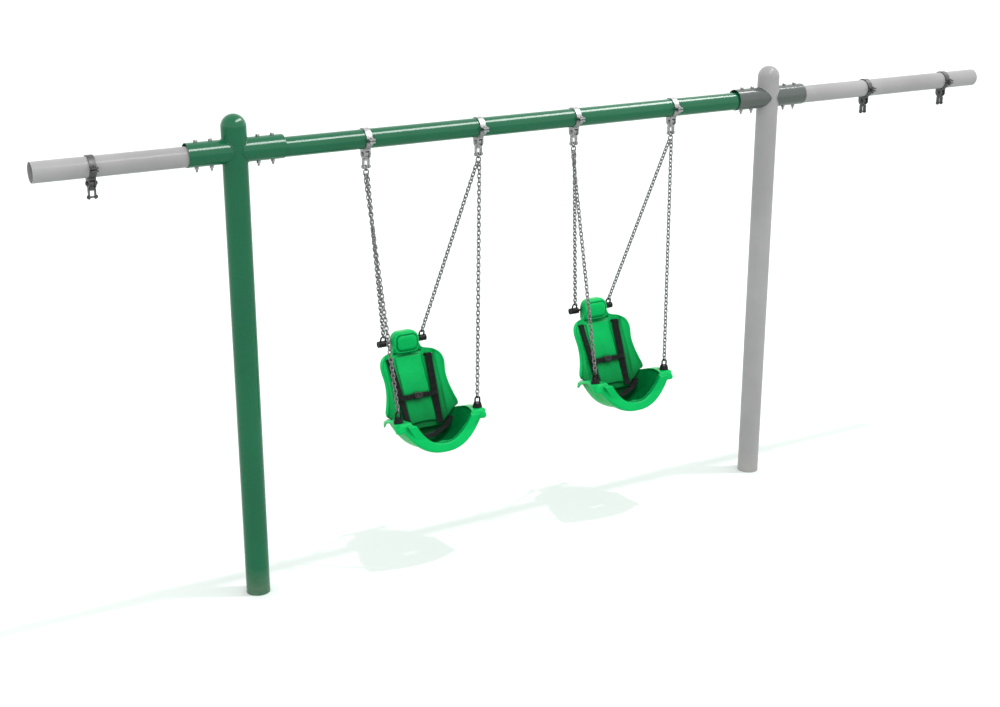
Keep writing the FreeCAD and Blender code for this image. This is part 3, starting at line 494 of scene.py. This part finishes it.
def pan_hollow():
    return trough("pan_hollow", [
        (-0.245, 0.184, 0.870, 0.731, 2.2), (-0.165, 0.190, 0.870, 0.706, 2.3),
        (-0.090, 0.217, 0.860, 0.659, 2.6), (0.000, 0.219, 0.846, 0.646, 3.0),
        (0.060, 0.213, 0.827, 0.654, 3.0), (PAN_REAR_Y - 0.009, 0.196, 0.816, 0.709, 2.6)])


def inset(outline, distance):
    """A closed outline of (x, z) points moved inwards."""
    points = np.array(outline)
    along = np.roll(points, -1, 0) - np.roll(points, 1, 0)
    along /= np.linalg.norm(along, axis=1)[:, None]
    normal = np.stack([-along[:, 1], along[:, 0]], 1)
    area = np.sum(points[:, 0] * np.roll(points[:, 1], -1) - np.roll(points[:, 0], -1) * points[:, 1])
    return points + normal * distance * math.copysign(1, area)


def front_rim():
    inner = trough_line(0.185, 0.0, -0.135, 2.2)
    outer = trough_line(0.234, -0.045, -0.188, 2.4)
    hook = [(0.196, 0.006), (0.212, 0.008), (0.232, 0.006), (0.250, 0.002), (0.264, -0.006), (0.273, -0.018),
            (0.276, -0.030), (0.273, -0.042), (0.262, -0.048), (0.248, -0.047)]
    mirrored = [(-x, z) for x, z in reversed(hook)]
    outline = inner + hook + outer[::-1] + mirrored
    rings = []
    for depth, margin in ((0.0, 0.010), (0.0015, 0.006), (0.005, 0.0025), (0.010, 0.0005), (0.016, 0.0),
                          (RIM_DEPTH, 0.0)):
        rings.append([(x, RIM_TOP_Y + z * math.sin(RIM_TILT) + depth * math.cos(RIM_TILT),
                       RIM_TOP_Z + z * math.cos(RIM_TILT) - depth * math.sin(RIM_TILT))
                      for x, z in inset(outline, margin)])
    return loft("rim", rings)


def side_flange(sign):
    """Flange with a turned-down lip, arched between the front hook and the hip."""
    stations = [(-0.150, 0.186, 0.275, 0.8545, 0.046), (-0.112, 0.196, 0.275, 0.8525, 0.034),
                (-0.070, 0.205, 0.268, 0.849, 0.020), (-0.020, 0.209, 0.264, 0.838, 0.017),
                (0.030, 0.208, 0.256, 0.820, 0.022), (0.062, 0.203, 0.247, 0.808, 0.034),
                (0.084, 0.198, 0.240, 0.801, 0.044)]
    lip = 0.013
    rings = []
    for y, inside, outside, top, drop in curve_through(stations, 7):
        section = [(inside, top), (outside - 0.014, top + 0.001), (outside - 0.005, top - 0.003),
                   (outside, top - 0.011), (outside, top - drop + 0.004), (outside - 0.004, top - drop),
                   (outside - lip + 0.003, top - drop), (outside - lip, top - drop + 0.004),
                   (outside - lip, top - 0.012), (outside - lip - 0.003, top - 0.009),
                   (inside, top - 0.009)]
        rings.append([(sign * x, y, z) for x, z in section])
    return loft("flange", rings)


def pan_detail(places, normals):
    """Leg ridge inside the front edge, a low pommel, and a lip round the floor slot."""
    x, y, z = places.T
    inside = rise(normals[:, 2], 0.1, 0.5) * (z < 0.80) * (y > -0.16) * (y < 0.1)
    ridge = rise(-(y + 0.105 + 0.55 * (z - 0.70)), -0.004, 0.004) * 0.0045
    pommel = np.exp(-((x / 0.034) ** 2)) * rise(-y, 0.02, 0.13) * 0.011
    slot_gap = np.maximum(np.abs(x) - DRAIN_LENGTH / 2, 0)
    slot_edge = np.hypot(slot_gap, np.abs(y - DRAIN_Y)) - DRAIN_WIDTH / 2
    lip = np.exp(-(((slot_edge - 0.007) / 0.0035) ** 2)) * 0.0020
    return inside * (ridge + pommel + lip)


def seat_pan():
    hull = trough("pan", [
        (-0.185, 0.222, 0.842, 0.674, 2.3), (-0.090, 0.226, 0.838, 0.650, 2.6),
        (0.000, 0.228, 0.822, 0.637, 3.0), (0.060, 0.222, 0.803, 0.645, 3.0),
        (PAN_REAR_Y - 0.010, 0.210, 0.795, 0.688, 2.7), (PAN_REAR_Y, 0.202, 0.792, 0.704, 2.6)])
    drain = box_solid("drain", (DRAIN_LENGTH, DRAIN_WIDTH, 0.08), Matrix.Translation((0, DRAIN_Y, 0.640)))
    cut(hull, pan_hollow(), drain)
    rim = cut(front_rim(), pan_hollow())
    pan = mould(merge("seat_pan", [hull, rim, side_flange(-1), side_flange(1)]), FINE, 7)
    relief(pan, pan_detail)
    return pan


# --------------------------------------------------------------------------------------------------
# Seat back
# --------------------------------------------------------------------------------------------------
BACK_HALF = 0.260
# Height, then the front face's y in the middle and at BACK_HALF from it.
BACK_SECTIONS = [(0.700, 0.042, 0.016), (0.819, 0.109, 0.063), (0.930, 0.172, 0.090), (1.050, 0.240, 0.143),
                 (1.104, 0.262, 0.163), (1.150, 0.264, 0.167), (1.240, 0.246, 0.149)]
# The outline's half width and height.
BACK_FLANK = [(0.110, 0.722), (0.150, 0.758), (0.182, 0.787), (0.204, 0.807), (0.222, 0.819), (0.224, 0.840),
              (0.212, 0.874), (0.196, 0.928), (0.190, 0.985), (0.196, 1.035), (0.196, 1.065), (0.183, 1.095),
              (0.152, 1.114), (0.110, 1.121), (0.090, 1.131), (0.082, 1.150)]
SLOT_X, SLOT_Z = 0.120, 1.087
RECLINE = math.radians(60.5)
UP_BACK = Vector((0, math.cos(RECLINE), math.sin(RECLINE)))
OUT_OF_BACK = Vector((1, 0, 0)).cross(UP_BACK)
EDGE_ROUND = 0.008
BACK_FOOT, BACK_TOP, ROW_STEP, COLUMNS = 0.7225, 1.149, 0.0028, 121
SMOOTH_BACK = curve_through(BACK_SECTIONS, 12)


def back_y(x, z):
    """Front face of the back."""
    centre = np.interp(z, SMOOTH_BACK[:, 0], SMOOTH_BACK[:, 1])
    edge = np.interp(z, SMOOTH_BACK[:, 0], SMOOTH_BACK[:, 2])
    return centre + (edge - centre) * (np.asarray(x) / BACK_HALF) ** 2


def back_relief(x, z, half):
    """How far the front stands proud: spine panel, strap channels and a rolled edge."""
    x = np.abs(x)
    foot = 0.752 - 0.9 * x ** 2
    panel = rise(-x, -0.084, -0.077) * rise(z, foot, foot + 0.007) * rise(-z, -1.098, -1.086)
    belly = rise(-x, -0.074, -0.040) * rise(z, 0.78, 0.86) * rise(-z, -1.06, -0.96)
    wing = rise(x, 0.146, 0.156)
    roll = rise(x / half, 0.88, 0.99) * rise(z, 0.80, 0.84)
    return 0.0105 * panel + 0.003 * belly + 0.0085 * wing + 0.006 * roll


def back_shell():
    flank = curve_through(BACK_FLANK, 10)
    columns = np.sin(np.linspace(-1, 1, COLUMNS) * math.pi / 2)
    rings = []
    for z in np.arange(BACK_FOOT, BACK_TOP, ROW_STEP):
        half = float(np.interp(z, flank[:, 1], flank[:, 0]))
        x = columns * half
        front = back_y(x, z) - back_relief(x, z, half)
        thick = 0.0085 + 0.007 * rise(np.abs(x) / half, 0.90, 0.99) * rise(z, 0.80, 0.84)
        rear = back_y(x, z) + thick
        nose = 1 - np.clip((half - np.abs(x)) / EDGE_ROUND, 0, 1)
        waist = (front + rear) / 2
        front, rear = (waist + (face - waist) * np.sqrt(1.0001 - nose ** 2) for face in (front, rear))
        rings.append([(a, b, z) for a, b in zip(x, front)]
                     + [(a, b, z) for a, b in zip(x[::-1], rear[::-1])])
    return loft("back", rings)


def head_outline(margin):
    """Headrest outline in (x, z), with round upper corners and soft lower ones."""
    half, top, foot = 0.082 - margin, 1.228 - margin, 1.096 + margin
    corners = ((1, 1, 0.048, 0), (-1, 1, 0.048, 90), (-1, -1, 0.016, 180), (1, -1, 0.016, 270))
    steps = 8
    points = []
    for centre_x, centre_z, radius, first in corners:
        for step in range(steps + 1):
            angle = math.radians(first + step * 90 / steps)
            x = centre_x * (half - radius) + radius * math.cos(angle)
            z = (top - radius if centre_z > 0 else foot + radius) + radius * math.sin(angle)
            points.append((x, z))
    return points


HEAD_BEND_Z = 1.15              # the headrest leans back above this


def headrest():
    stations = [(0.2425, 0.036), (0.2440, 0.024), (0.2470, 0.014), (0.2520, 0.007), (0.2600, 0.002),
                (0.2720, 0.000), (0.3040, 0.002), (0.3180, 0.007), (0.3265, 0.016)]
    rings = [[(x, y + max(z - HEAD_BEND_Z, 0) ** 2, z) for x, z in head_outline(margin)]
             for y, margin in stations]
    wall = 0.007
    inside = loft("head_inside", [[(x, y, z) for x, z in head_outline(wall)] for y in (0.259, 0.40)])
    return cut(loft("head", rings), inside)


def head_detail(places, normals):
    """Groove round the head pad, and the crease where the headrest meets the back."""
    x, y, z = places.T
    front = rise(-normals[:, 1], 0.4, 0.8) * (y < 0.28)
    away = np.maximum(np.abs(x) - 0.034, 0), np.maximum(np.abs(z - 1.166) - 0.016, 0)
    loop = np.hypot(*away) - 0.030
    groove = np.exp(-((loop / 0.0036) ** 2)) * 0.0065
    swell = rise(-loop, -0.002, 0.022) * 0.0035
    crease = np.exp(-(((z - 1.1015 - 1.1 * x * x) / 0.0036) ** 2)) * (np.abs(x) < 0.086) * 0.0075
    return front * (swell - groove - crease)


def seat_back():
    shell = back_shell()
    lower = 0.00275             # a strap leaves its slot over the lower edge
    turn = Euler((RECLINE - math.pi / 2, 0, 0)).to_matrix().to_4x4()
    slots = []
    for sign in (-1, 1):
        centre = Vector((sign * SLOT_X, float(back_y(SLOT_X, SLOT_Z)), SLOT_Z)) - UP_BACK * lower
        slots.append(box_solid("slot", (0.048, 0.09, 0.0085), Matrix.Translation(centre) @ turn, 0.004))
    cut(shell, *slots)
    back = mould(merge("seat_back", [shell, headrest()]), FINE, 9)
    relief(back, head_detail)
    return back


# --------------------------------------------------------------------------------------------------
# Harness
# --------------------------------------------------------------------------------------------------
STRAP_WIDTH, CHEST_STRAP_WIDTH, STRAP_THICKNESS = 0.038, 0.026, 0.0025
STRAP_CLEAR = 0.008             # from the back's face to the middle of a strap


def webbing(name, route, across, width=STRAP_WIDTH, per_span=8):
    """Flat strap along a smooth route; its UV runs across and along in strap widths."""
    centres = curve_through(route, per_span)
    wides = curve_through(across, per_span)
    outline = [(-0.5, -0.1), (-0.485, -0.42), (-0.44, -0.5)] + [(t, -0.5) for t in np.linspace(-0.3, 0.3, 5)]
    outline += [(0.44, -0.5), (0.485, -0.42), (0.5, -0.1)]
    outline += [(-a, -b) for a, b in outline]
    rings, lengths, travelled = [], [], 0.0
    for count, (centre, wide) in enumerate(zip(centres, wides)):
        before, after = centres[max(count - 1, 0)], centres[min(count + 1, len(centres) - 1)]
        along = Vector(after - before).normalized()
        face = along.cross(Vector(wide)).normalized()
        side = face.cross(along).normalized()
        lie = 0.0004 * math.sin(count * 0.9)        # a faint wave along the strap
        rings.append([Vector(centre) + side * (a * width) + face * (b * STRAP_THICKNESS + lie)
                      for a, b in outline])
        if count:
            travelled += float(np.linalg.norm(centres[count] - centres[count - 1]))
        lengths.append(travelled)
    strap = loft(name, rings)
    layer = strap.data.uv_layers.new(name="UVMap")
    size = len(outline)
    for loop in strap.data.loops:
        ring, place = divmod(loop.vertex_index, size)
        layer.data[loop.index].uv = (outline[place][0], lengths[ring] / STRAP_WIDTH)
    return strap


def on_back(x, z, clear):
    """A point that stands clear of the back's face by so much."""
    return Vector((x, float(back_y(x, z)), z)) + OUT_OF_BACK * clear


def shoulder_strap(sign):
    slot = on_back(sign * SLOT_X, SLOT_Z, 0)
    radius, drop, behind = 0.012, 0.009, 0.005
    route = [slot - UP_BACK * (drop + length) - OUT_OF_BACK * (behind + radius) for length in (0.055, 0.025)]
    for angle in range(180, -1, -30):
        turn = math.radians(angle)
        route.append(slot + UP_BACK * (radius * math.sin(turn) - drop)
                     + OUT_OF_BACK * (radius * math.cos(turn) - behind))
    low_x, low_z = 0.097, 0.765
    for z in (1.045, 1.000, 0.950, 0.900, 0.850, 0.800, low_z):
        x = low_x + (SLOT_X - low_x) * (z - low_z) / (SLOT_Z - low_z)
        route.append(on_back(sign * x, z, STRAP_CLEAR))
    route.append(Vector((sign * 0.098, 0.040, 0.738)))
    reach = 0.01
    lean = float(back_y(SLOT_X + reach, 1.0) - back_y(SLOT_X - reach, 1.0)) / (2 * reach)
    across = [(1, sign * lean, 0)] * (len(route) - 1) + [(1, 0, 0)]
    return webbing("shoulder_strap", route, across)


def lap_strap():
    half = [(0.176, 0.072, 0.757), (0.160, 0.060, 0.745), (0.136, 0.041, 0.726), (0.108, 0.030, 0.714),
            (0.076, 0.022, 0.701), (0.038, 0.018, 0.688)]
    route = half + [(0, 0.017, 0.683)] + [(-x, y, z) for x, y, z in reversed(half)]
    return webbing("lap_strap", route, [(0, 1, 0.15)] * len(route))


CHEST_Z, CHEST_JOIN = 0.885, 0.106
CHEST = on_back(CHEST_JOIN, CHEST_Z, STRAP_CLEAR + STRAP_THICKNESS + 0.007)
CHEST.x = 0
BUCKLE_PLACE = Matrix.Translation(CHEST) @ Euler((RECLINE, 0, 0)).to_matrix().to_4x4()
BUCKLE_LEFT, BUCKLE_RIGHT = 0.026, 0.029        # where the chest straps end, from the buckle's middle
BUTTON_X = -0.007


def chest_strap(sign, inner_x):
    """From its stitching on the shoulder strap to the buckle, with a little sag."""
    route = [CHEST + Vector((sign * x, 0, 0)) + UP_BACK * sag
             for x, sag in ((CHEST_JOIN + 0.014, 0.0), (0.092, -0.0004), (0.070, -0.0016), (0.048, -0.0012),
                            (inner_x, 0.0))]
    return webbing("chest_strap", route, [tuple(UP_BACK)] * len(route), CHEST_STRAP_WIDTH)


def stitches(name, centre, along, across, half_long, half_wide):
    """A sewn box with a cross in it: short raised threads on a strap's face."""
    pitch = 0.0034
    along, across = along.normalized(), across.normalized()
    face = along.cross(across).normalized()
    corners = [(-half_long, -half_wide), (half_long, -half_wide),
               (half_long, half_wide), (-half_long, half_wide)]
    runs = list(zip(corners, corners[1:] + corners[:1]))
    runs += [(corners[0], corners[2]), (corners[1], corners[3])]
    vertices, faces = [], []
    for (a, b), (c, d) in runs:
        start = centre + along * a + across * b
        end = centre + along * c + across * d
        count = max(int((end - start).length / pitch), 2)
        for step in range(count):
            first = start.lerp(end, (step + 0.12) / count)
            last = start.lerp(end, (step + 0.82) / count)
            way = (last - first).normalized()
            side = way.cross(face)
            base = len(vertices)
            vertices.append(first)
            for share in (0.3, 0.7):
                core = first.lerp(last, share)
                vertices += [core + side * 0.0004, core + face * 0.0005,
                             core - side * 0.0004, core - face * 0.0003]
            vertices.append(last)
            for turn in range(4):
                after = (turn + 1) % 4
                faces.append((base, base + 1 + turn, base + 1 + after))
                faces.append((base + 1 + turn, base + 5 + turn, base + 5 + after, base + 1 + after))
                faces.append((base + 9, base + 5 + after, base + 5 + turn))
    return new_object(name, vertices, faces)


def harness_threads():
    """Box stitching where the chest straps are sewn to the shoulder straps."""
    items = []
    for sign in (-1, 1):
        centre = CHEST + Vector((sign * CHEST_JOIN, 0, 0)) + OUT_OF_BACK * (STRAP_THICKNESS / 2)
        items.append(stitches("threads", centre, Vector((1, 0, 0)), UP_BACK, 0.011, 0.0095))
    return merge("harness_stitching", items)


def block(name, size, place, bevel):
    """Round-edged box in the buckle's own place: x across the chest, z out of it."""
    return box_solid(name, size, Matrix.Translation(place), bevel)


def on_chest(item):
    item.data.transform(BUCKLE_PLACE)
    return item


def buckle_body():
    shell = block("buckle", (0.044, 0.034, 0.012), (-0.004, 0, 0), 0.0032)
    mouth = block("mouth", (0.021, 0.0186, 0.0036), (0.0085, 0, 0), 0.0006)
    well = block("well", (0.0146, 0.0126, 0.012), (BUTTON_X, 0, 0.003), 0.0008)
    cut(shell, mouth, well)
    ribs = [block("rib", (0.0012, 0.022, 0.0016), (-0.0195 + 0.0026 * count, 0, 0.0059), 0.0004)
            for count in range(3)]
    guards = [block("guard", (0.018, 0.0014, 0.0018), (BUTTON_X, side * 0.0088, 0.0060), 0.0005)
              for side in (-1, 1)]
    return on_chest(merge("buckle_body", [shell] + ribs + guards))


def buckle_tongue():
    tongue = block("tongue", (0.027, 0.018, 0.003), (0.0155, 0, 0), 0.0008)
    bar = block("bar", (0.004, 0.0230, 0.0052), (0.0265, 0, 0), 0.0012)
    return on_chest(merge("buckle_tongue", [tongue, bar]))


def buckle_button():
    button = block("button", (0.014, 0.012, 0.006), (BUTTON_X, 0, 0.0045), 0.0011)
    dish = block("dish", (0.0085, 0.0070, 0.0016), (BUTTON_X, 0, 0.0078), 0.0006)
    return on_chest(cut(button, dish))


# --------------------------------------------------------------------------------------------------
# Welds on the posts
# --------------------------------------------------------------------------------------------------
def weld_bead(name, post_x, sign, post_radius, sleeve_radius, sleeve_z):
    """Rippled bead where the through sleeve leaves the post."""
    count, around, ripples = 220, 8, 74
    vertices = []
    for step in range(count):
        angle = math.tau * step / count
        y, z = sleeve_radius * math.sin(angle), sleeve_z + sleeve_radius * math.cos(angle)
        x = post_x + sign * math.sqrt(post_radius ** 2 - y * y)
        out = Vector((sign * 0.55, math.sin(angle), math.cos(angle))).normalized()
        side = Vector((sign, 0, 0)).cross(out).cross(out).normalized()
        size = 0.0036 + 0.0005 * math.sin(angle * ripples) + 0.0003 * math.sin(angle * 13 + post_x)
        vertices += [Vector((x, y, z)) + out * (size * math.cos(t)) + side * (size * 1.15 * math.sin(t))
                     for t in np.linspace(0, math.tau, around, endpoint=False)]
    faces = []
    for step in range(count):
        here, there = step * around, (step + 1) % count * around
        for j in range(around):
            after = (j + 1) % around
            faces.append((here + j, here + after, there + after, there + j))
    return new_object(name, vertices, faces)


def welds():
    for side, slot in (("left", "green_paint"), ("right", "grey_paint")):
        low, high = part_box(side + "_post")
        sleeve_low, sleeve_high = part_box(side + "_sleeve")
        post_radius = (high.y - low.y) / 2
        sleeve_radius = (sleeve_high.y - sleeve_low.y) / 2
        sleeve_z = (sleeve_low.z + sleeve_high.z) / 2
        for end, sign in (("outer", -1), ("inner", 1)):
            bead = weld_bead("%s_post_%s_weld" % (side, end), (low.x + high.x) / 2, sign, post_radius,
                             sleeve_radius, sleeve_z)
            bead.data.materials.append(MATERIALS[slot])
            smooth(bead)
            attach(bead, "frame")


# --------------------------------------------------------------------------------------------------
# Put the swings together
# --------------------------------------------------------------------------------------------------
def swings():
    """Each piece is made once in the seat's own place, and set down on both swings."""
    shoulder_straps = merge("straps", [shoulder_strap(-1), shoulder_strap(1)])
    chest_straps = merge("straps", [chest_strap(-1, BUCKLE_LEFT), chest_strap(1, BUCKLE_RIGHT)])
    pieces = [
        (seat_pan(), "seat_pan", "seat_plastic"),
        (seat_back(), "seat_back", "seat_plastic"),
        (shoulder_straps, "shoulder_straps", "webbing"),
        (lap_strap(), "lap_strap", "webbing"),
        (chest_straps, "chest_straps", "webbing"),
        (harness_threads(), "harness_stitching", "thread"),
        (buckle_body(), "buckle_body", "buckle_plastic"),
        (buckle_tongue(), "buckle_tongue", "buckle_plastic"),
        (buckle_button(), "buckle_button", "button_plastic"),
    ]
    for made, name, slot in pieces:
        for swing in SWINGS:
            piece = twin(made, "%s_%s_shown" % (swing, name))
            rider = swing.replace("_swing", "_buckle_button") if name == "buckle_button" else swing
            nodes = [] if name == "harness_stitching" else [swing + "_" + name]
            set_down(piece, seat_datum(swing), rider, slot, *nodes)
        discard(made)


swings()
welds()


# --------------------------------------------------------------------------------------------------
# Floor, light and camera
# --------------------------------------------------------------------------------------------------
def floor():
    """A wide pale floor with the faintest green in it."""
    reach = 60
    corners = [(-reach, -reach, 0), (reach, -reach, 0), (reach, reach, 0), (-reach, reach, 0)]
    plane = new_object("studio_floor", corners, [(0, 1, 2, 3)])
    s = Shader("floor_paint", Roughness=0.9, Specular_IOR_Level=0.0)
    s.colour(s.ramp(s.noise(0.8, 2), (0.3, (0.535, 0.575, 0.554)), (0.7, (0.545, 0.585, 0.564))))
    plane.data.materials.append(s.material)


def aim(light, toward):
    """Point a light's beam from that direction at the object."""
    light.rotation_euler = toward.to_track_quat("Z", "Y").to_euler()


def lights():
    """Even sky, a weak sun for the shadows, and a strip for the highlights on tubes."""
    world = bpy.data.worlds.new("studio")
    world.use_nodes = True
    tree = world.node_tree
    place = tree.nodes.new("ShaderNodeTexCoord")
    split = tree.nodes.new("ShaderNodeSeparateXYZ")
    sky = tree.nodes.new("ShaderNodeValToRGB")
    tree.links.new(place.outputs["Generated"], split.inputs[0])
    tree.links.new(split.outputs["Z"], sky.inputs["Fac"])
    tree.links.new(sky.outputs["Color"], tree.nodes["Background"].inputs["Color"])
    sky.color_ramp.elements[0].color = (1, 1, 1, 1)
    sky.color_ramp.elements[1].position = 0.85
    sky.color_ramp.elements[1].color = (0.75, 0.75, 0.75, 1)
    tree.nodes["Background"].inputs["Strength"].default_value = 2.2
    bpy.context.scene.world = world
    sun = put("sun", bpy.data.lights.new("sun", "SUN"))
    sun.data.energy = 1.3
    sun.data.angle = math.radians(1.5)
    sun.visible_glossy = False
    aim(sun, Vector((0.19, -0.09, 1)))
    strip = put("strip", bpy.data.lights.new("strip", "AREA"))
    strip.data.shape = "RECTANGLE"
    strip.data.size, strip.data.size_y = 9.0, 1.9
    strip.data.energy = 1300
    strip.visible_diffuse = False
    toward = Vector((0.30, -0.34, 0.86)).normalized()
    strip.location = Vector((0.8, 0, 2.4)) + toward * 6.5
    aim(strip, toward)


def camera():
    eye = put("camera", bpy.data.cameras.new("camera"))
    eye.data.sensor_width = 36
    eye.data.lens = 55.5
    eye.data.clip_end = 200
    eye.location = (-4.3567, -7.0944, 3.8025)
    eye.rotation_euler = (math.radians(71.767), 0, math.radians(-30.55))
    bpy.context.scene.camera = eye
    bpy.context.scene.view_settings.view_transform = "Standard"


floor()
lights()
camera()
